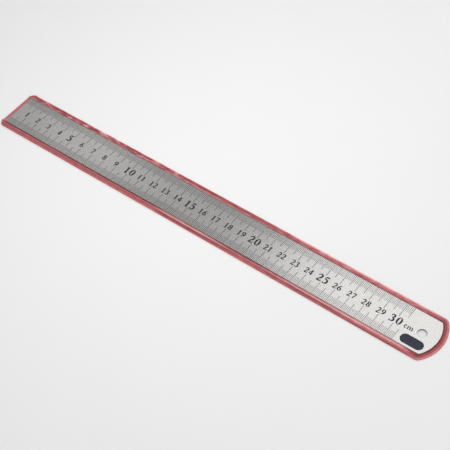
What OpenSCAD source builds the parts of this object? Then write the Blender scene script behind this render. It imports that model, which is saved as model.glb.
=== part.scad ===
// Steel ruler, 30 cm, lying in a welded sleeve with a red back film and a clear front film.
// Millimetres. X runs along the ruler, from the sleeve's open mouth to the round end.
// Y runs across it, and the sleeve lies with its underside on Z = 0.

/* [Blade] */
// Length from the square zero end to the top of the round end
blade_l = 327; // [240:1:400]
// Width across the two scales
blade_w = 25; // [22:0.2:30]
// Thickness of the steel strip
blade_t = 0.7; // [0.5:0.1:2]
// Radius of the round end
end_r = 20; // [16:0.5:60]
// Corner radius between each long edge and the round end
shoulder_r = 1; // [0.3:0.1:4]
// Corner radius at the square zero end
zero_corner_r = 0.5; // [0.2:0.1:3]

/* [Hang hole] */
// Diameter of the hole in the blade
hole_d = 6; // [3:0.5:10]
// Distance from the hole's centre to the top of the round end
hole_to_end = 10; // [7:0.5:16]

/* [Scales] */
// Spacing of the marks
mark_pitch = 1; // [1:0.5:3]
// Width of a millimetre mark
mark_w = 0.2; // [0.1:0.01:0.4]
// Width of a half-centimetre or centimetre mark
long_mark_w = 0.28; // [0.1:0.01:0.4]
// Thickness of the printed ink
ink_t = 0.03; // [0.01:0.01:0.06]
// Bare steel left between a mark and the edge that it starts from
mark_to_edge = 0.1; // [0.05:0.05:1]
// Bare steel left between the last mark and the top of the round end
scale_to_end = 22; // [18:1:60]
// Length of a millimetre mark on the far edge
far_mm_l = 5; // [2:0.1:6]
// Length of a half-centimetre mark on the far edge
far_half_l = 7.7; // [3:0.1:8]
// Length of a centimetre mark on the far edge
far_cm_l = 9.9; // [4:0.1:11]
// Length of a millimetre mark on the near edge
near_mm_l = 4.8; // [2:0.1:6]
// Length of a half-centimetre mark on the near edge
near_half_l = 7.6; // [3:0.1:8]
// Length of a centimetre mark on the near edge
near_cm_l = 9.5; // [4:0.1:11]

/* [Sleeve films] */
// Thickness of the red back film
back_t = 0.25; // [0.1:0.05:0.5]
// Thickness of the clear front film
front_t = 0.2; // [0.1:0.05:0.4]
// Room between the blade and the front film above it
window_gap = 0.1; // [0.07:0.01:0.5]
// How far both films run past the blade's zero end, at the mouth
mouth_lip = 3; // [0.5:0.1:8]
// Corner radius of the films at the mouth
mouth_corner_r = 4; // [1:0.5:8]
// Corner radius of the films beside the round end
end_corner_r = 4.5; // [1:0.5:8]
// Room round the hang hole where the films are punched, on the radius
film_hole_gap = 1; // [0.3:0.1:2]

/* [Sleeve seam] */
// Room between the blade's long edge and the bend in the front film
side_gap = 0.3; // [0.2:0.05:2]
// Run of the front film as it slopes down beside the blade
side_slope = 1.3; // [0.4:0.05:3]
// Width of the welded margin along each side
side_margin = 2.25; // [1.5:0.05:6]
// Room between the blade's round end and the bend in the front film
end_gap = 0.3; // [0.2:0.05:2]
// Run of the front film as it slopes down past the round end
end_slope = 0.4; // [0.3:0.05:3]
// Width of the welded margin round the end
end_margin = 2.8; // [1.5:0.05:6]
// Width of the groove that the welding bar presses into the margin
weld_w = 0.9; // [0.4:0.05:1]
// Depth of that groove
weld_depth = 0.08; // [0.02:0.01:0.09]
// Distance from the foot of the slope to the groove
weld_inset = 0.15; // [0.05:0.05:0.3]

/* [Hidden] */
$fn = 96;

// A cut runs this far past the face that it opens
cut_past = 0.1;

// Plan of the sleeve, out from the blade's own outline
side_half_w = blade_w / 2 + side_gap + side_slope + side_margin;
end_reach = end_gap + end_slope + end_margin;
sleeve_l = mouth_lip + blade_l + end_reach;

// Places along X, with the origin in the middle of the sleeve
mouth_x = -sleeve_l / 2;
zero_x = mouth_x + mouth_lip;
blade_end_x = zero_x + blade_l;
arc_x = blade_end_x - end_r;
hole_x = blade_end_x - hole_to_end;

// Heights of the stack of films, blade and ink
blade_z = back_t;
face_z = blade_z + blade_t;
window_z = face_z + window_gap;
window_top_z = window_z + front_t;
margin_top_z = back_t + front_t;
slope_drop = window_z - back_t;

// Bends of the front film: the outer skin of a bend lies this far out from the inner one
side_bend = front_t * tan(atan2(slope_drop, side_slope) / 2);
end_bend = front_t * tan(atan2(slope_drop, end_slope) / 2);
window_half_w = blade_w / 2 + side_gap;
window_arc_r = end_r + end_gap;
foot_half_w = window_half_w + side_slope;
foot_arc_r = window_arc_r + end_slope;
seam_split_x = arc_x + sqrt(pow(window_arc_r, 2) - pow(window_half_w, 2));

// Marks in the whole scale, in half a centimetre and in a centimetre
mark_count = floor((blade_l - scale_to_end) / mark_pitch);
half_count = 5;
cm_count = 10;

steel = [0.74, 0.74, 0.72];
ink = [0.08, 0.08, 0.09];
red_film = [0.74, 0.25, 0.28];
clear_film = [0.95, 0.82, 0.82, 0.45];

// Plan of a strip with two rounded corners at its start and an arched far end.
// Each shoulder is a circle that touches both the long edge and the end arc.
module arched_strip(start_x, half_w, arc_r, start_r, corner_r) {
    corner_y = half_w - corner_r;
    corner_dx = sqrt(pow(arc_r - corner_r, 2) - pow(corner_y, 2));
    wedge_l = 2 * arc_r;
    wedge_y = wedge_l * corner_y / corner_dx;
    translate([start_x + start_r, -half_w])
        square([arc_x + corner_dx - start_x - start_r, 2 * half_w]);
    translate([start_x, start_r - half_w])
        square([start_r, 2 * (half_w - start_r)]);
    intersection() {
        translate([arc_x, 0])
            circle(r = arc_r);
        translate([arc_x, 0])
            polygon([[0, 0], [wedge_l, -wedge_y], [wedge_l, wedge_y]]);
    }
    for (side = [-1, 1]) {
        translate([start_x + start_r, side * (half_w - start_r)])
            circle(r = start_r);
        translate([arc_x + corner_dx, side * corner_y])
            circle(r = corner_r);
    }
}

// The films' cut outline
module sleeve_outline() {
    arched_strip(mouth_x, side_half_w, end_r + end_reach, mouth_corner_r, end_corner_r);
}

// The flat of the front film, inside its bends, carried past the mouth
module window_outline(past_mouth) {
    translate([mouth_x - past_mouth, -window_half_w])
        square([arc_x - mouth_x + past_mouth, 2 * window_half_w]);
    intersection() {
        translate([arc_x, -window_half_w])
            square([2 * window_arc_r, 2 * window_half_w]);
        translate([arc_x, 0])
            circle(r = window_arc_r);
    }
}

// A straight run of a pocket whose sides lean in towards the top
module pocket_run(from_x, to_x, low_z, high_z, low_half_w, high_half_w) {
    translate([from_x, 0, 0])
        rotate([90, 0, 90])
            linear_extrude(to_x - from_x)
                polygon([
                    [-low_half_w, low_z], [low_half_w, low_z],
                    [high_half_w, high_z], [-high_half_w, high_z]
                ]);
}

// The pocket that the formed film makes: a leaning run, closed by a cone at the round end.
// skin is 0 for its inner face and 1 for its outer one, and it starts deep below its foot.
module pocket(skin, deep, past_mouth) {
    foot_z = back_t + skin * front_t;
    low_z = foot_z - deep;
    high_z = window_z + skin * front_t;
    side_low = foot_half_w + skin * side_bend + deep * side_slope / slope_drop;
    side_high = window_half_w + skin * side_bend;
    end_low = foot_arc_r + skin * end_bend + deep * end_slope / slope_drop;
    end_high = window_arc_r + skin * end_bend;
    pocket_run(mouth_x - past_mouth, arc_x, low_z, high_z, side_low, side_high);
    intersection() {
        pocket_run(arc_x, arc_x + 2 * end_low, low_z, high_z, side_low, side_high);
        translate([arc_x, 0, low_z])
            cylinder(h = high_z - low_z, r1 = end_low, r2 = end_high);
    }
}

// The groove that the welding bar leaves, parallel to the foot of the slope
module weld_groove() {
    inner_half_w = foot_half_w + side_bend + weld_inset;
    inner_arc_r = foot_arc_r + end_bend + weld_inset;
    inner_corner_r = end_corner_r - (side_half_w - inner_half_w);
    translate([0, 0, margin_top_z - weld_depth])
        linear_extrude(weld_depth + cut_past)
            difference() {
                arched_strip(mouth_x - cut_past, inner_half_w + weld_w, inner_arc_r + weld_w,
                    cut_past, max(inner_corner_r, shoulder_r) + weld_w);
                arched_strip(mouth_x - 2 * cut_past, inner_half_w, inner_arc_r,
                    cut_past, max(inner_corner_r, shoulder_r));
            }
}

// The welded border of the front film, all round, without the flat that lies over the blade
module seam_border() {
    difference() {
        intersection() {
            union() {
                translate([0, 0, back_t])
                    linear_extrude(front_t)
                        sleeve_outline();
                pocket(1, 0, 0);
            }
            linear_extrude(window_top_z)
                sleeve_outline();
        }
        pocket(0, cut_past, cut_past);
        linear_extrude(window_top_z + cut_past)
            window_outline(cut_past);
        weld_groove();
    }
}

// A block that keeps the far half of one long side
module far_side_block() {
    translate([mouth_x - cut_past, 0, 0])
        cube([seam_split_x - mouth_x + cut_past, side_half_w + cut_past, window_top_z + cut_past]);
}

module hang_bore(radius, low_z, high_z) {
    translate([hole_x, 0, low_z - cut_past])
        cylinder(h = high_z - low_z + 2 * cut_past, r = radius);
}

// One row of marks, drawn in from an edge: side is 1 for the far edge and -1 for the near one
module mark_row(side, numbers, length, width) {
    edge_y = blade_w / 2 - mark_to_edge;
    low_y = side > 0 ? edge_y - length : -edge_y;
    color(ink)
        for (i = numbers)
            translate([zero_x + i * mark_pitch - width / 2, low_y, face_z])
                cube([width, length, ink_t]);
}

function mm_numbers() = [for (i = [1 : mark_count]) if (i % half_count != 0) i];
function half_numbers() = [for (i = [half_count : cm_count : mark_count]) i];
function cm_numbers() = [for (i = [cm_count : cm_count : mark_count]) i];

module blade() {
    color(steel)
        difference() {
            translate([0, 0, blade_z])
                linear_extrude(blade_t)
                    arched_strip(zero_x, blade_w / 2, end_r, zero_corner_r, shoulder_r);
            hang_bore(hole_d / 2, blade_z, face_z);
        }
}

module far_millimetre_marks() {
    mark_row(1, mm_numbers(), far_mm_l, mark_w);
}

module far_half_centimetre_marks() {
    mark_row(1, half_numbers(), far_half_l, long_mark_w);
}

module far_centimetre_marks() {
    mark_row(1, cm_numbers(), far_cm_l, long_mark_w);
}

module near_millimetre_marks() {
    mark_row(-1, mm_numbers(), near_mm_l, mark_w);
}

module near_half_centimetre_marks() {
    mark_row(-1, half_numbers(), near_half_l, long_mark_w);
}

module near_centimetre_marks() {
    mark_row(-1, cm_numbers(), near_cm_l, long_mark_w);
}

module back_film() {
    color(red_film)
        difference() {
            linear_extrude(back_t)
                sleeve_outline();
            hang_bore(hole_d / 2 + film_hole_gap, 0, back_t);
        }
}

module front_window() {
    color(clear_film)
        difference() {
            intersection() {
                translate([0, 0, window_z])
                    linear_extrude(front_t)
                        window_outline(0);
                linear_extrude(window_top_z + cut_past)
                    sleeve_outline();
            }
            hang_bore(hole_d / 2 + film_hole_gap, window_z, window_top_z);
        }
}

module far_side_seam() {
    color(clear_film)
        intersection() {
            seam_border();
            far_side_block();
        }
}

module near_side_seam() {
    mirror([0, 1, 0])
        far_side_seam();
}

module round_end_seam() {
    color(clear_film)
        difference() {
            seam_border();
            far_side_block();
            mirror([0, 1, 0])
                far_side_block();
        }
}

blade();
far_millimetre_marks();
far_half_centimetre_marks();
far_centimetre_marks();
near_millimetre_marks();
near_half_centimetre_marks();
near_centimetre_marks();
back_film();
front_window();
far_side_seam();
near_side_seam();
round_end_seam();
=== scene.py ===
import math

import bmesh
import bpy
from mathutils import Matrix, Vector, noise


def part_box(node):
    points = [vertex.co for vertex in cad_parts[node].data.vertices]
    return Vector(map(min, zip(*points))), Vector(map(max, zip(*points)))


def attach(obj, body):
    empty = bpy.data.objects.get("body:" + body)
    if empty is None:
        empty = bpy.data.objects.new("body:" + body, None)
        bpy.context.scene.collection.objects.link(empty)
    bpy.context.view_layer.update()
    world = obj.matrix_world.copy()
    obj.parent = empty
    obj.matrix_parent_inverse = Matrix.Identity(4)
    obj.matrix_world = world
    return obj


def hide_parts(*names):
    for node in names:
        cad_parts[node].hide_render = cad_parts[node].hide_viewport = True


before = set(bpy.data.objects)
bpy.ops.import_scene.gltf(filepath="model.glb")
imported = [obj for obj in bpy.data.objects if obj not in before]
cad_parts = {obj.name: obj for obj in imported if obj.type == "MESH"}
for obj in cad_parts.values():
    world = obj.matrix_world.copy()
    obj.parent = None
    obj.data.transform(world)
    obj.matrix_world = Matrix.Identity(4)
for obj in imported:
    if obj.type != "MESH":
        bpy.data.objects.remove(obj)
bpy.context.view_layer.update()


# Red back film: calendered PVC sheet, 0.25 mm thick, dyed translucent red and cut to the outline.
# It lies flat on the table, and the front film is welded to it along both sides and round the end.
mm = 0.001


def linear(hex_colour):
    """An sRGB hex colour as linear red, green and blue, with an alpha of 1."""
    channels = [int(hex_colour[i:i + 2], 16) / 255 for i in (0, 2, 4)]
    return [c / 12.92 if c <= 0.04045 else ((c + 0.055) / 1.055) ** 2.4 for c in channels] + [1.0]


def add_node(tree, kind, links=(), stops=(), values=(), **settings):
    """A node with its links, its colour stops and its sockets' values by number.

    A setting is one of the node's own properties, or the name of a socket with _ for a space.
    """
    node = tree.nodes.new(kind)
    for name, value in settings.items():
        if hasattr(node, name):
            setattr(node, name, value)
        else:
            node.inputs[name.replace("_", " ")].default_value = value
    for number, value in values:
        node.inputs[number].default_value = value
    for i, (place, colour) in enumerate(stops):
        elements = node.color_ramp.elements
        stop = elements[i] if i < 2 else elements.new(place)
        stop.position, stop.color = place, linear(colour)
    for source, output, target in links:
        tree.links.new(source.outputs[output], node.inputs[target])
    return node


def new_material(name):
    """An empty material, its node tree, and the coordinates that its patterns follow, in metres."""
    material = bpy.data.materials.new(name)
    material.use_nodes = True
    tree = material.node_tree
    tree.nodes.clear()
    return material, tree, add_node(tree, "ShaderNodeTexCoord")


def red_vinyl():
    # Calendering leaves a soft gloss with a faint grain, and the dye is a little cloudy.
    cloud_mm, grain_mm = 7, 0.35
    material, tree, coords = new_material("calendered_red_vinyl")
    cloud = add_node(tree, "ShaderNodeTexNoise", [(coords, "Object", "Vector")],
                     Scale=1 / (cloud_mm * mm), Detail=3.0)
    tint = add_node(tree, "ShaderNodeValToRGB", [(cloud, "Fac", "Fac")],
                    [(0.3, "D2646A"), (0.7, "DC747A")])
    grain = add_node(tree, "ShaderNodeTexNoise", [(coords, "Object", "Vector")],
                     Scale=1 / (grain_mm * mm), Detail=2.0)
    bump = add_node(tree, "ShaderNodeBump", [(grain, "Fac", "Height")],
                    Strength=0.3, Distance=0.01 * mm)
    shader = add_node(tree, "ShaderNodeBsdfPrincipled",
                      [(tint, "Color", "Base Color"), (bump, "Normal", "Normal")],
                      Roughness=0.36, IOR=1.53, Alpha=0.9)
    add_node(tree, "ShaderNodeOutputMaterial", [(shader, 0, "Surface")])
    return material


def dress(node_name, material):
    """Gives a CAD node this material in place of its own."""
    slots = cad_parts[node_name].data.materials
    slots.clear()
    slots.append(material)


dress("back_film", red_vinyl())


# Blade: spring-hard stainless strip, 0.7 mm thick, blanked with a round end and a hang hole.
# Both faces are belt-brushed lengthwise before printing, and the sheared edges are left dull.
def brushed_stainless():
    # Brushing draws reflections out across the ruler and leaves fine streaks along it. The sheared
    # edges are left dull, and their colour is painted near black as painted shade: the shaded wall
    # of
    # the hang hole and the dark line along the blade's edge. Real brush lines are about 0.05 mm
    # wide:
    # they are drawn coarser, to show.
    streak_size_mm, mottle_mm = (60, 0.35, 0.35), 18
    edge_painted_shade, sheared_roughness = "2A2725", 0.5
    material, tree, coords = new_material("brushed_stainless_steel")
    stretch = add_node(tree, "ShaderNodeMapping", [(coords, "Object", "Vector")],
                       Scale=[1 / (size * mm) for size in streak_size_mm])
    streaks = add_node(tree, "ShaderNodeTexNoise", [(stretch, "Vector", "Vector")],
                       Scale=1.0, Detail=4.0)
    mottle = add_node(tree, "ShaderNodeTexNoise", [(coords, "Object", "Vector")],
                      Scale=1 / (mottle_mm * mm), Detail=2.0)
    blend = add_node(tree, "ShaderNodeMix", [(streaks, "Fac", 2), (mottle, "Fac", 3)])
    tint = add_node(tree, "ShaderNodeValToRGB", [(blend, 0, "Fac")],
                    [(0.3, "D6D5D2"), (0.7, "E0DFDD")])
    rough = add_node(tree, "ShaderNodeMapRange", [(streaks, "Fac", "Value")],
                     From_Min=0.25, From_Max=0.75, To_Min=0.19, To_Max=0.26)
    geometry = add_node(tree, "ShaderNodeNewGeometry")
    facing = add_node(tree, "ShaderNodeSeparateXYZ", [(geometry, "True Normal", "Vector")])
    is_face = add_node(tree, "ShaderNodeMath", [(facing, "Z", 0)], operation="ABSOLUTE")
    # The side faces take the near-black painted shade colour, and the brushed faces the steel's
    # tint.
    colour = add_node(tree, "ShaderNodeMix", [(is_face, 0, 0), (tint, "Color", 7)],
                      values=[(6, linear(edge_painted_shade))], data_type="RGBA")
    finish = add_node(tree, "ShaderNodeMix", [(is_face, 0, 0), (rough, "Result", 3)],
                      values=[(2, sheared_roughness)])
    bump = add_node(tree, "ShaderNodeBump", [(streaks, "Fac", "Height")],
                    Strength=0.15, Distance=0.004 * mm)
    across = add_node(tree, "ShaderNodeTangent", direction_type="RADIAL", axis="X")
    shader = add_node(tree, "ShaderNodeBsdfPrincipled",
                      [(colour, 2, "Base Color"), (finish, 0, "Roughness"),
                       (bump, "Normal", "Normal"), (across, "Tangent", "Tangent")],
                      Metallic=1.0, Anisotropic=0.5)
    add_node(tree, "ShaderNodeOutputMaterial", [(shader, 0, "Surface")])
    return material


dress("blade", brushed_stainless())
blade_low, blade_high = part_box("blade")
face_z = blade_high[2]
zero_x = blade_low[0]


# Edge scales: black screen-printed marks, 0.03 mm of ink, one at each millimetre of both edges.
# They are printed on the brushed face and stoved, so that the ink bites the steel.
def stoved_ink(name, dark, thin):
    # Stoved ink is nearly matt, and thin in places, so it is not an even black.
    patch_mm = 0.8
    material, tree, coords = new_material(name)
    patches = add_node(tree, "ShaderNodeTexNoise", [(coords, "Object", "Vector")],
                       Scale=1 / (patch_mm * mm), Detail=3.0)
    tint = add_node(tree, "ShaderNodeValToRGB", [(patches, "Fac", "Fac")],
                    [(0.35, dark), (0.8, thin)])
    rough = add_node(tree, "ShaderNodeMapRange", [(patches, "Fac", "Value")],
                     To_Min=0.45, To_Max=0.6)
    shader = add_node(tree, "ShaderNodeBsdfPrincipled",
                      [(tint, "Color", "Base Color"), (rough, "Result", "Roughness")],
                      IOR=1.5, Specular_IOR_Level=0.2)
    add_node(tree, "ShaderNodeOutputMaterial", [(shader, 0, "Surface")])
    return material


black_ink = stoved_ink("stoved_black_ink", "0E0E10", "26262A")
for edge in ("far", "near"):
    for kind in ("millimetre", "half_centimetre", "centimetre"):
        dress(f"{edge}_{kind}_marks", black_ink)


# Numerals: the row from 1 to 30 down the middle of the blade, one at each centimetre.
# They are printed with the scales, in the same ink and in a seriffed face, every fifth one larger.
# Here a broad pen draws them, on a scale where 1 is the height of a figure.
figure_w = 0.7
# Each point of a stroke holds x, y and the pen's swell, from 0 for a hairline to 1 for a stem.
figure_strokes = {
    "1": [[(0.36, 0, 1), (0.36, 1, 1)], [(0.38, 0.965, 0.15), (0.27, 0.925, 0.1), (0.13, 0.86, 0)],
          [(0.14, 0.022, 0), (0.58, 0.022, 0)]],
    "2": [[(0.07, 0.7, 0.05), (0.13, 0.86, 0.25), (0.3, 0.955, 0.45), (0.47, 0.88, 0.85),
           (0.525, 0.72, 1), (0.46, 0.53, 0.8), (0.3, 0.32, 0.45), (0.09, 0.09, 0.15)],
          [(0.06, 0.065, 0.6), (0.56, 0.065, 0.6)],
          [(0.57, 0.05, 0.3), (0.62, 0.13, 0.15), (0.645, 0.245, 0)]],
    "3": [[(0.08, 0.74, 0.05), (0.15, 0.885, 0.25), (0.3, 0.955, 0.35), (0.445, 0.88, 0.75),
           (0.475, 0.755, 0.9), (0.4, 0.625, 0.5), (0.25, 0.55, 0.05)],
          [(0.25, 0.545, 0.05), (0.42, 0.5, 0.5), (0.535, 0.345, 1), (0.5, 0.16, 0.85),
           (0.34, 0.045, 0.35), (0.17, 0.045, 0.25), (0.09, 0.085, 0.5)]],
    "4": [[(0.45, 0.965, 0.1), (0.07, 0.315, 0.1)], [(0.04, 0.285, 0.35), (0.66, 0.285, 0.35)],
          [(0.46, 0.985, 1), (0.46, 0, 1)]],
    "5": [[(0.165, 0.915, 0.6), (0.42, 0.92, 0.6), (0.6, 0.945, 0.35)],
          [(0.175, 0.95, 0.05), (0.12, 0.6, 0.05)],
          [(0.12, 0.6, 0.05), (0.3, 0.61, 0.5), (0.46, 0.53, 0.85), (0.535, 0.36, 1),
           (0.48, 0.155, 0.8), (0.32, 0.045, 0.35), (0.16, 0.045, 0.25), (0.09, 0.085, 0.5)]],
    "6": [[(0.61, 0.965, 0.05), (0.4, 0.86, 0.4), (0.21, 0.64, 0.85), (0.125, 0.36, 1),
           (0.19, 0.13, 0.7), (0.35, 0.035, 0.15), (0.505, 0.13, 0.75), (0.57, 0.31, 1),
           (0.505, 0.49, 0.65), (0.375, 0.56, 0.2), (0.225, 0.5, 0.1), (0.15, 0.42, 0.05)]],
    "7": [[(0.07, 0.915, 0.6), (0.62, 0.915, 0.6)], [(0.085, 0.94, 0.1), (0.035, 0.715, 0)],
          [(0.6, 0.91, 0.35), (0.44, 0.47, 0.6), (0.285, 0, 0.8)]],
}
figure_strokes["9"] = [[(figure_w - x, 1 - y, swell) for x, y, swell in stroke]
                       for stroke in figure_strokes["6"]]
# A ring holds its centre and its two radii, and a dot its centre and its radius.
figure_rings = {"0": [(0.35, 0.5, 0.235, 0.47)],
                "8": [(0.35, 0.745, 0.185, 0.225), (0.35, 0.265, 0.225, 0.235)]}
figure_dots = {"3": [(0.1, 0.1, 0.075)], "5": [(0.1, 0.1, 0.075)]}


def smooth_path(points, steps=8):
    """Catmull-Rom through the points, with the pen's swell carried along."""
    if len(points) == 2:
        return [Vector(p) for p in points]
    held = [points[0]] + list(points) + [points[-1]]
    path = []
    for i in range(1, len(held) - 2):
        before, here, there, after = (Vector(held[i + k]) for k in (-1, 0, 1, 2))
        for k in range(steps):
            t = k / steps
            path.append(0.5 * (2 * here + (there - before) * t
                               + (2 * before - 5 * here + 4 * there - after) * t * t
                               + (3 * here - before - 3 * there + after) * t ** 3))
    path.append(Vector(points[-1]))
    return path


def pen_stroke(path, closed, hair, stem):
    """A flat bar of ink, 1 thick, along the path, as a closed mesh."""
    mesh = bmesh.new()
    rows = []
    count = len(path)
    for i, point in enumerate(path):
        ahead = path[(i + 1) % count] if closed or i < count - 1 else point
        behind = path[i - 1] if closed or i > 0 else point
        along = Vector((ahead.x - behind.x, ahead.y - behind.y, 0)).normalized()
        side = Vector((-along.y, along.x, 0)) * (hair + (stem - hair) * max(point.z, 0)) / 2
        centre = Vector((point.x, point.y, 0))
        top = Vector((0, 0, 1))
        rows.append([mesh.verts.new(p) for p in
                     (centre + side, centre - side, centre - side + top, centre + side + top)])
    for i in range(count if closed else count - 1):
        here, there = rows[i], rows[(i + 1) % count]
        for k in range(4):
            mesh.faces.new((here[k], here[(k + 1) % 4], there[(k + 1) % 4], there[k]))
    if not closed:
        mesh.faces.new(rows[0][::-1])
        mesh.faces.new(rows[-1])
    bmesh.ops.recalc_face_normals(mesh, faces=mesh.faces)
    data = bpy.data.meshes.new("stroke")
    mesh.to_mesh(data)
    mesh.free()
    return data


def ring_path(centre_x, centre_y, radius_x, radius_y, count=36, contrast=1.5):
    """A closed pen path, thick at its sides and thin at its top and foot."""
    turns = [2 * math.pi * i / count for i in range(count)]
    return [Vector((centre_x + radius_x * math.cos(a), centre_y + radius_y * math.sin(a),
                    abs(math.cos(a)) ** contrast)) for a in turns]


def dot_path(centre_x, centre_y, radius, count=24):
    """A closed pen path at half the radius of a round dot."""
    turns = [2 * math.pi * i / count for i in range(count)]
    return [Vector((centre_x + radius / 2 * math.cos(a), centre_y + radius / 2 * math.sin(a), 0))
            for a in turns]


def fused_figure(strokes, sliver=0.0005):
    """The corners and faces of one figure: its strokes, joined and cleared of slivers."""
    objects = [bpy.data.objects.new("stroke", data) for data in strokes]
    for thing in objects:
        bpy.context.collection.objects.link(thing)
    for other in objects[1:]:
        union = objects[0].modifiers.new("join", "BOOLEAN")
        union.operation, union.solver, union.object = "UNION", "EXACT", other
    whole = bmesh.new()
    whole.from_object(objects[0], bpy.context.evaluated_depsgraph_get())
    bmesh.ops.triangulate(whole, faces=whole.faces)
    bmesh.ops.dissolve_degenerate(whole, dist=sliver, edges=whole.edges)
    whole.verts.index_update()
    corners = [v.co.copy() for v in whole.verts]
    faces = [[v.index for v in f.verts] for f in whole.faces]
    whole.free()
    for thing in objects:
        bpy.data.objects.remove(thing)
    return corners, faces


def draw_figure(sign, hair, stem, dot_fill=0.98):
    """A figure or letter as one solid. A dot keeps a pinhole, so that its stroke stays a ring."""
    strokes = [pen_stroke(smooth_path(s), False, hair, stem) for s in figure_strokes.get(sign, [])]
    strokes += [pen_stroke(ring_path(*r), True, hair, stem) for r in figure_rings.get(sign, [])]
    for x, y, radius in figure_dots.get(sign, []):
        strokes.append(pen_stroke(dot_path(x, y, radius), True, radius * dot_fill, radius))
    return fused_figure(strokes)


def print_figures(name, placed, ink_t, material):
    """placed lists each figure's corners and faces, left end, foot and height, in metres."""
    corners, faces = [], []
    for (shape, sides), left, foot, height in placed:
        first = len(corners)
        corners += [(left + p.x * height, foot + p.y * height, face_z + p.z * ink_t) for p in shape]
        faces += [[first + i for i in side] for side in sides]
    data = bpy.data.meshes.new(name)
    data.from_pydata(corners, [], faces)
    data.materials.append(material)
    thing = bpy.data.objects.new(name, data)
    bpy.context.collection.objects.link(thing)
    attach(thing, "ruler")


ink_t = 0.03 * mm
cm_pitch = 10 * mm
last_cm, bold_every = 30, 5
plain_style = {"height": 3.85 * mm, "foot": -2.1 * mm, "step": 0.79, "hair": 0.08, "stem": 0.23}
bold_style = {"height": 5.1 * mm, "foot": -2.7 * mm, "step": 0.84, "hair": 0.08, "stem": 0.24}
for row_name, style, numbers in (
    ("plain_numerals", plain_style, [n for n in range(1, last_cm + 1) if n % bold_every]),
    ("bold_numerals", bold_style, range(bold_every, last_cm + 1, bold_every)),
):
    signs = sorted(set("".join(str(number) for number in numbers)))
    figures = {sign: draw_figure(sign, style["hair"], style["stem"]) for sign in signs}
    placed = []
    for number in numbers:
        # a single figure stands where the tens of the others do
        first_left = zero_x + number * cm_pitch - (style["step"] + figure_w) / 2 * style["height"]
        for i, sign in enumerate(str(number)):
            left = first_left + i * style["step"] * style["height"]
            placed.append((figures[sign], left, style["foot"], style["height"]))
    print_figures(row_name, placed, ink_t, black_ink)


# Unit sign: a small cm after the last numeral, printed with the same ink in the same pass.
# It is drawn with the same pen on its own scale, where 1 is the height of the small letters.
figure_strokes["c"] = [[(0.62, 0.74, 0.6), (0.5, 0.93, 0.25), (0.34, 0.955, 0.3),
                        (0.15, 0.76, 0.85), (0.1, 0.48, 1), (0.17, 0.2, 0.8),
                        (0.36, 0.045, 0.3), (0.55, 0.09, 0.15), (0.67, 0.22, 0)]]
figure_dots["c"] = [(0.58, 0.76, 0.12)]
m_stems, m_serif = (0.2, 0.83, 1.46), 0.18
figure_strokes["m"] = [[(m_stems[0], 0, 1), (m_stems[0], 0.96, 1)],
                       [(0.02, 0.92, 0), (m_stems[0], 0.92, 0)]]
for stem_x in m_stems[1:]:
    figure_strokes["m"].append([(stem_x - 0.56, 0.7, 0.1), (stem_x - 0.4, 0.86, 0.25),
                                (stem_x - 0.22, 0.92, 0.35), (stem_x - 0.08, 0.84, 0.5),
                                (stem_x - 0.01, 0.66, 0.75), (stem_x, 0.45, 1), (stem_x, 0, 1)])
figure_strokes["m"] += [[(x - m_serif, 0.08, 0), (x + m_serif, 0.08, 0)] for x in m_stems]
unit_height, unit_foot = 2.2 * mm, -2.1 * mm
unit_left = zero_x + 305.9 * mm
unit_step, unit_hair, unit_stem = 0.95, 0.14, 0.3
letters = [(draw_figure(sign, unit_hair, unit_stem), unit_left + i * unit_step * unit_height,
            unit_foot, unit_height) for i, sign in enumerate("cm")]
print_figures("unit_sign", letters, ink_t, black_ink)


# Patch: a plain dark lozenge beside the hang hole, screen-printed in blue-black.
# It has fully round ends, and its ink is as thick as that of the scales.
patch_l, patch_w = 14.7 * mm, 6.3 * mm
patch_x, patch_y = zero_x + 315.3 * mm, -7.9 * mm
end_steps = 24
patch_outline = []
for end in (1, -1):
    for i in range(end_steps + 1):
        a = math.pi * (i / end_steps - 0.5) + (0 if end > 0 else math.pi)
        patch_outline.append((end * (patch_l - patch_w) / 2 + patch_w / 2 * math.cos(a),
                              patch_w / 2 * math.sin(a)))
upper = len(patch_outline)
patch_corners = [Vector((x, y, z)) for z in (0, 1) for x, y in patch_outline]
patch_faces = [list(range(upper))[::-1], list(range(upper, 2 * upper))]
patch_faces += [[i, (i + 1) % upper, upper + (i + 1) % upper, upper + i] for i in range(upper)]
blue_black_ink = stoved_ink("stoved_blue_black_ink", "0C1430", "182240")
patch_placed = ((patch_corners, patch_faces), patch_x, patch_y, 1)
print_figures("bare_patch", [patch_placed], ink_t, blue_black_ink)


# Front window: the flat of the clear front film, 0.2 mm PVC, lying just over the printed face.
# The film is calendered between polished rolls, and goes on past the window as the welded border.
def clear_vinyl():
    # Polished film is hardly seen from above, and has a pale, softly rippled gloss at a low angle.
    ripple_mm, gloss_power = 22, 5.0
    material, tree, coords = new_material("polished_clear_vinyl")
    ripple = add_node(tree, "ShaderNodeTexNoise", [(coords, "Object", "Vector")],
                      Scale=1 / (ripple_mm * mm), Detail=1.0)
    bump = add_node(tree, "ShaderNodeBump", [(ripple, "Fac", "Height")],
                    Strength=0.5, Distance=0.05 * mm)
    slant = add_node(tree, "ShaderNodeLayerWeight", [(bump, "Normal", "Normal")], Blend=0.5)
    steep = add_node(tree, "ShaderNodeMath", [(slant, "Facing", 0)],
                     values=[(1, gloss_power)], operation="POWER")
    gloss = add_node(tree, "ShaderNodeMapRange", [(steep, 0, "Value")], To_Min=0.02, To_Max=0.6)
    shader = add_node(tree, "ShaderNodeBsdfPrincipled",
                      [(gloss, "Result", "Alpha"), (bump, "Normal", "Normal")],
                      Base_Color=linear("F6F5F5"), Roughness=0.12, IOR=1.53)
    add_node(tree, "ShaderNodeOutputMaterial", [(shader, 0, "Surface")])
    return material


dress("front_window", clear_vinyl())


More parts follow.
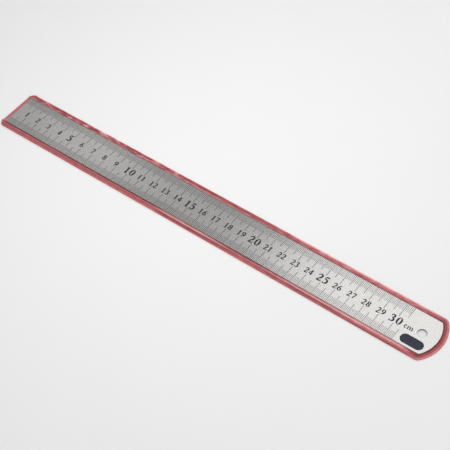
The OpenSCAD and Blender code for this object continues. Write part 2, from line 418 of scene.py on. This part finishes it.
# Welded border: the rest of the front film, which bends down beside the blade to the red film.
# A heated bar presses a groove along the sides and round the end, and the films are cut outside it.
window_low, window_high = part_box("front_window")
film_low, film_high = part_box("back_film")
split_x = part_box("round_end_seam")[0][0]
window_half_w, window_end = window_high[1], window_high[0]
arc_x = (window_end ** 2 - split_x ** 2 - window_half_w ** 2) / (2 * (window_end - split_x))
window_r = window_end - arc_x
outer_half_w, outer_r = film_high[1], film_high[0] - arc_x
margin_w, end_margin_w = outer_half_w - window_half_w, outer_r - window_r
mouth_x = film_low[0]
window_top, window_under = window_high[2], window_low[2]
film_top = film_high[2]
margin_z = film_top + window_top - window_under
# These repeat sizes of the solids that their boxes do not give.
mouth_corner_r, end_corner_r = 4 * mm, 4.5 * mm
side_foot, end_foot = 1.357 * mm, 0.524 * mm
groove_gap, groove_w, groove_depth = 0.15 * mm, 0.9 * mm, 0.08 * mm
# These are the scene's own: rounding, gaps that keep films apart, and how far the slope lifts.
bead_h, edge_round = 0.02 * mm, 0.06 * mm
seam_gap, window_gap = 0.01 * mm, 0.02 * mm
under_step, least_corner_r = 0.1 * mm, 0.03 * mm
slope_lift = 0.5


def border_rail(zone, out_side, out_end, z, lift=0.0):
    """A line of the section: how far outside the window it lies at the sides and at the end."""
    return {"zone": zone, "side": out_side, "end": out_end, "z": z, "lift": lift}


# The lines go down the bend and the slope, over the groove and the margin, and back underneath.
rails = []
for zone, share, bow_mm in (("bend", 0.0, 0.0), ("bend", 0.1, 0.03), ("bend", 0.25, 0.06),
                            ("slope", 0.5, 0.0), ("slope", 0.7, -0.05), ("slope", 0.9, -0.03),
                            ("slope", 1.0, 0.0)):
    rails.append(border_rail(zone, window_gap + share * side_foot, window_gap + share * end_foot,
                             window_top + (margin_z - window_top) * share + bow_mm * mm,
                             math.sin(math.pi * share) * slope_lift))
groove_z = margin_z - groove_depth
for share, z in ((0.0, margin_z), (0.08, groove_z), (0.5, groove_z), (0.92, groove_z),
                 (1.0, margin_z + bead_h)):
    out = groove_gap + share * groove_w
    rails.append(border_rail("groove", side_foot + out, end_foot + out, z))
groove_side, groove_end = rails[-1]["side"], rails[-1]["end"]
for share in (0.35, 0.7, 0.94):
    rails.append(border_rail("margin", groove_side + share * (margin_w - groove_side),
                             groove_end + share * (end_margin_w - groove_end), margin_z, share))
rails += [
    border_rail("margin", margin_w, end_margin_w, margin_z - edge_round, 1),
    border_rail("margin", margin_w, end_margin_w, film_top + seam_gap, 1),
    border_rail("margin", side_foot, end_foot, film_top + seam_gap),
    border_rail("slope", side_foot - under_step, end_foot - under_step, film_top + seam_gap),
    border_rail("bend", window_gap, window_gap, window_under),
]


def rail_plan(rail, side_steps=240, corner_steps=10, arc_steps=40):
    """The rail's plan, from the mouth along the near side, round the end and back."""
    half_w = window_half_w + rail["side"]
    arc_r = window_r + rail["end"]
    corner_r = max(end_corner_r - (margin_w - rail["side"]), least_corner_r)
    corner_y = half_w - corner_r
    corner_x = arc_x + math.sqrt((arc_r - corner_r) ** 2 - corner_y ** 2)
    rise = max(half_w - (outer_half_w - mouth_corner_r), 0)
    start_x = mouth_x + mouth_corner_r - math.sqrt(max(mouth_corner_r ** 2 - rise ** 2, 0))
    turn = math.atan2(corner_x - arc_x, corner_y)
    half = [(start_x + (corner_x - start_x) * i / side_steps, -half_w) for i in range(side_steps)]
    for i in range(corner_steps):
        a = turn * i / corner_steps
        half.append((corner_x + corner_r * math.sin(a), -corner_y - corner_r * math.cos(a)))
    for i in range(arc_steps):
        a = turn + (math.pi / 2 - turn) * i / arc_steps
        half.append((arc_x + arc_r * math.sin(a), -arc_r * math.cos(a)))
    return half + [(arc_x + arc_r, 0.0)] + [(x, -y) for x, y in reversed(half)]


# The weld's state differs along the sleeve. A state gives each zone's paleness, from 0 where the
# films touch to 1 where air lies between them, with how much it veils what is under it. Part of
# that paleness is painted light: painted highlights along the slope and the bend, a painted
# reflection on the far margin, and painted shade round the end. Slack is how far the film lifts.
weld_states = {
    "clear": {"bend": (0.0, 0.5), "slope": (0.76, 0.45), "groove": (0.33, 1.0),
              "margin": (0.53, 1.0), "slack": 0.18},
    # Painted highlight: a pale, thickly veiled streak down the slope.
    "highlit": {"bend": (0.8, 0.28), "slope": (0.94, 0.82), "groove": (0.05, 1.0),
              "margin": (0.38, 1.0), "slack": 0.18},
    "puckered": {"bend": (0.74, 0.56), "slope": (0.6, 0.48), "groove": (0.4, 1.0),
                 "margin": (0.48, 1.0), "slack": 0.95},
    # Painted highlight: a pale line along the top of the bend on the far side.
    "bend_highlit": {"bend": (0.93, 0.72), "slope": (0.62, 0.48), "groove": (0.23, 1.0),
                "margin": (0.32, 1.0), "slack": 0.3},
    # Painted reflection: the far margin is pale towards the round end.
    "margin_sheen": {"bend": (0.62, 0.42), "slope": (0.54, 0.48), "groove": (0.56, 1.0),
             "margin": (0.92, 1.0), "slack": 0.3},
    # Painted highlight: a wide pale streak down the slope near the round end, beside a darker
    # margin.
    "near_end_highlit": {"bend": (0.95, 0.32), "slope": (1.0, 0.9), "groove": (0.5, 1.0),
               "margin": (0.12, 1.0), "slack": 0.18},
    # Painted shade: the bend and the slope round the end are deep red, where the gap at the blade's
    # end lies in shade.
    "end": {"bend": (0.0, 0.4), "slope": (0.0, 0.9), "groove": (0.2, 1.0),
            "margin": (0.58, 1.0), "slack": 0.1},
}
# Where each state begins and ends, in millimetres from the zero end, with a fade to the next one.
weld_runs = {
    "near": [("clear", 0, 130), ("highlit", 140, 172), ("clear", 200, 204), ("highlit", 242, 258),
             ("near_end_highlit", 280, 311), ("end", 323, 330)],
    "far": [("puckered", 0, 132), ("bend_highlit", 148, 166), ("margin_sheen", 240, 311), ("end", 323, 330)],
}


def weld_at(x, y):
    """The two states that meet nearest a place, and the second one's share of it."""
    place = (x - zero_x) / mm
    runs = weld_runs["near" if y < 0 else "far"]
    for (state, _, stop), (following, begin, end) in zip(runs, runs[1:]):
        if place < end:
            break
    share = min(max((place - stop) / (begin - stop), 0), 1)
    return weld_states[state], weld_states[following], share


# Loose film lifts in waves, each with its length in millimetres, its share and its phase.
pucker_h = 0.22 * mm
pucker_waves = ((13.2, 1.0, 0.0), (23.2, 0.8, 1.3), (8.0, 0.6, 0.4))


def pucker(x):
    """How far loose film lifts here, from 0 to 1."""
    place = (x - zero_x) / mm
    wave = sum(share * math.sin(2 * math.pi * place / length + phase)
               for length, share, phase in pucker_waves)
    return 0.5 + 0.5 * wave / sum(share for length, share, phase in pucker_waves)


# Air trapped under loose film clouds it in patches of about this length and width.
mottle_l, mottle_w, mottle_share, mottle_seed = 4 * mm, 1.5 * mm, 0.8, 3.7
border = bmesh.new()
pale_layer = border.verts.layers.float.new("paleness_and_painted_light")
veil_layer = border.verts.layers.float.new("veil")
rows = []
for rail in rails:
    row = []
    for x, y in rail_plan(rail):
        state, following, share = weld_at(x, y)
        slack = state["slack"] + (following["slack"] - state["slack"]) * share
        (pale, veil), (next_pale, next_veil) = state[rail["zone"]], following[rail["zone"]]
        speck = noise.noise(Vector((x / mottle_l, y / mottle_w, mottle_seed)))
        corner = border.verts.new((x, y, rail["z"] + rail["lift"] * pucker_h * slack * pucker(x)))
        corner[pale_layer] = pale + (next_pale - pale) * share + mottle_share * slack * speck
        corner[veil_layer] = veil + (next_veil - veil) * share
        row.append(corner)
    rows.append(row)
plan_count = len(rows[0])
for here, there in zip(rows, rows[1:] + rows[:1]):
    for i in range(plan_count - 1):
        border.faces.new((here[i], here[i + 1], there[i + 1], there[i])).smooth = True
for end in (0, plan_count - 1):
    border.faces.new([row[end] for row in rows])
bmesh.ops.recalc_face_normals(border, faces=border.faces)
border_data = bpy.data.meshes.new("welded_border")
border.to_mesh(border_data)
border.free()
welded_border = bpy.data.objects.new("welded_border", border_data)
bpy.context.collection.objects.link(welded_border)


def welded_vinyl():
    # Welded films look deep red where they touch and pale where they do not, with a moulded gloss.
    # The same paleness also carries painted highlights, a painted reflection and painted shade.
    speck_mm, speck_tone = 1.2, 0.12
    material, tree, coords = new_material("welded_clear_on_red_vinyl")
    pale = add_node(tree, "ShaderNodeAttribute", attribute_name="paleness_and_painted_light")
    haze = add_node(tree, "ShaderNodeAttribute", attribute_name="veil")
    specks = add_node(tree, "ShaderNodeTexNoise", [(coords, "Object", "Vector")],
                      Scale=1 / (speck_mm * mm), Detail=3.0)
    spread = add_node(tree, "ShaderNodeMapRange", [(specks, "Fac", "Value")],
                      To_Min=-speck_tone, To_Max=speck_tone)
    tone = add_node(tree, "ShaderNodeMath", [(pale, "Fac", 0), (spread, "Result", 1)],
                    operation="ADD")
    tint = add_node(tree, "ShaderNodeValToRGB", [(tone, 0, "Fac")],
                    [(0.0, "893438"), (0.5, "C96366"), (1.0, "FFBFBF")])
    bump = add_node(tree, "ShaderNodeBump", [(specks, "Fac", "Height")],
                    Strength=0.4, Distance=0.02 * mm)
    shader = add_node(tree, "ShaderNodeBsdfPrincipled",
                      [(tint, "Color", "Base Color"), (haze, "Fac", "Alpha"),
                       (bump, "Normal", "Normal")],
                      Roughness=0.28, IOR=1.53)
    add_node(tree, "ShaderNodeOutputMaterial", [(shader, 0, "Surface")])
    return material


border_data.materials.append(welded_vinyl())
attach(welded_border, "sleeve")
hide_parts("far_side_seam", "near_side_seam", "round_end_seam")


# Table: a wide plain sheet of pale paper, which the sleeve lies on.
# It is flat, and wide enough to fill the view from any side.
half_span, table_gap = 6.0, 0.05 * mm
table_data = bpy.data.meshes.new("table")
table_data.from_pydata([(-half_span, -half_span, 0), (half_span, -half_span, 0),
                        (half_span, half_span, 0), (-half_span, half_span, 0)], [], [(0, 1, 2, 3)])
table = bpy.data.objects.new("table", table_data)
table.location.z = -table_gap
bpy.context.collection.objects.link(table)


def pale_paper():
    # Paper is matt and faintly clouded. To a camera or a mirror it also glows a little: in a pool
    # round the sleeve, and far off, so that it stays pale where the lamps hardly reach.
    cloud_mm = 40
    pool_centre, pool_r, pool_level = (zero_x + 126 * mm, 23 * mm, 0), 290 * mm, 0.125
    far_from, far_to, far_level = 0.35, 2.5, 0.3
    material, tree, coords = new_material("pale_matt_paper")
    cloud = add_node(tree, "ShaderNodeTexNoise", [(coords, "Object", "Vector")],
                     Scale=1 / (cloud_mm * mm), Detail=3.0)
    tint = add_node(tree, "ShaderNodeValToRGB", [(cloud, "Fac", "Fac")],
                    [(0.3, "FAFAFA"), (0.7, "FBFBFB")])
    paper = add_node(tree, "ShaderNodeBsdfPrincipled", [(tint, "Color", "Base Color")],
                     Roughness=0.9)
    away = add_node(tree, "ShaderNodeVectorMath", [(coords, "Object", 0)],
                    values=[(1, pool_centre)], operation="DISTANCE")
    pool = add_node(tree, "ShaderNodeMapRange", [(away, "Value", "Value")],
                    interpolation_type="SMOOTHSTEP", From_Max=pool_r, To_Min=pool_level, To_Max=0.0)
    far_off = add_node(tree, "ShaderNodeMapRange", [(away, "Value", "Value")],
                       interpolation_type="SMOOTHSTEP",
                       From_Min=far_from, From_Max=far_to, To_Max=far_level)
    pale = add_node(tree, "ShaderNodeMath", [(pool, "Result", 0), (far_off, "Result", 1)],
                    operation="ADD")
    ray = add_node(tree, "ShaderNodeLightPath")
    mirrored = add_node(tree, "ShaderNodeMath",
                        [(ray, "Is Glossy Ray", 0), (ray, "Is Transmission Ray", 1)],
                        operation="ADD")
    looked_at = add_node(tree, "ShaderNodeMath", [(ray, "Is Camera Ray", 0), (mirrored, 0, 1)],
                         operation="ADD", use_clamp=True)
    seen = add_node(tree, "ShaderNodeMath", [(pale, 0, 0), (looked_at, 0, 1)], operation="MULTIPLY")
    glow = add_node(tree, "ShaderNodeEmission", [(seen, 0, "Strength")])
    shader = add_node(tree, "ShaderNodeAddShader", [(paper, 0, 0), (glow, 0, 1)])
    add_node(tree, "ShaderNodeOutputMaterial", [(shader, 0, "Surface")])
    return material


table_data.materials.append(pale_paper())


# Light: a wide softbox overhead, which the round end mirrors, one behind the zero end, and a fill.
# The rest is a plain grey room, pale beside the table and darker above, which the zero end mirrors.
lamp_z = 1.0
box_split_x, box_back_y = -0.445, 2.4


def softbox(name, low, high, radiance):
    """A lamp that faces down, between its low and high corners, in metres."""
    data = bpy.data.lights.new(name, "AREA")
    data.shape = "RECTANGLE"
    data.size, data.size_y = high[0] - low[0], high[1] - low[1]
    data.energy = radiance * math.pi * data.size * data.size_y
    lamp = bpy.data.objects.new(name, data)
    lamp.location = ((low[0] + high[0]) / 2, (low[1] + high[1]) / 2, lamp_z)
    bpy.context.collection.objects.link(lamp)


softbox("overhead_softbox", (box_split_x, -0.6), (1.5, box_back_y), 0.755)
softbox("far_softbox", (-1.6, 1.3), (box_split_x, box_back_y), 1.3)
softbox("weak_fill", (-0.96, 0.0), (-0.78, 1.0), 0.32)
world = bpy.data.worlds.new("grey_room")
bpy.context.scene.world = world
world.use_nodes = True
room = world.node_tree
pale_up_to, grey_from = 0.1, 0.6
pale_level, grey_level = 0.9, 0.375
direction = add_node(room, "ShaderNodeTexCoord")
rise = add_node(room, "ShaderNodeSeparateXYZ", [(direction, "Generated", "Vector")])
level = add_node(room, "ShaderNodeMapRange", [(rise, "Z", "Value")],
                 interpolation_type="SMOOTHSTEP", From_Min=pale_up_to, From_Max=grey_from,
                 To_Min=pale_level, To_Max=grey_level)
room.links.new(level.outputs["Result"], room.nodes["Background"].inputs["Color"])


# Camera: stands to the right of the round end and looks down along the ruler, as in the photograph.
# Its place, turn and lens are those that put the centimetre marks where the photograph shows them.
camera_data = bpy.data.cameras.new("camera")
camera_data.sensor_width = 36
camera_data.lens = 97.02
camera = bpy.data.objects.new("camera", camera_data)
bpy.context.collection.objects.link(camera)
camera_right = Vector((0.78148, 0.61721, -0.09136))
camera_back = Vector((0.44787, -0.45295, 0.77088))
camera_up = camera_back.cross(camera_right)
camera_turn = Matrix((camera_right, camera_up, camera_back)).transposed()
camera_place = Vector((zero_x + 506.509 * mm, -333.202 * mm, face_z + 566.043 * mm))
camera.matrix_world = Matrix.Translation(camera_place) @ camera_turn.to_4x4()
bpy.context.scene.camera = camera
bpy.context.scene.view_settings.view_transform = "Standard"
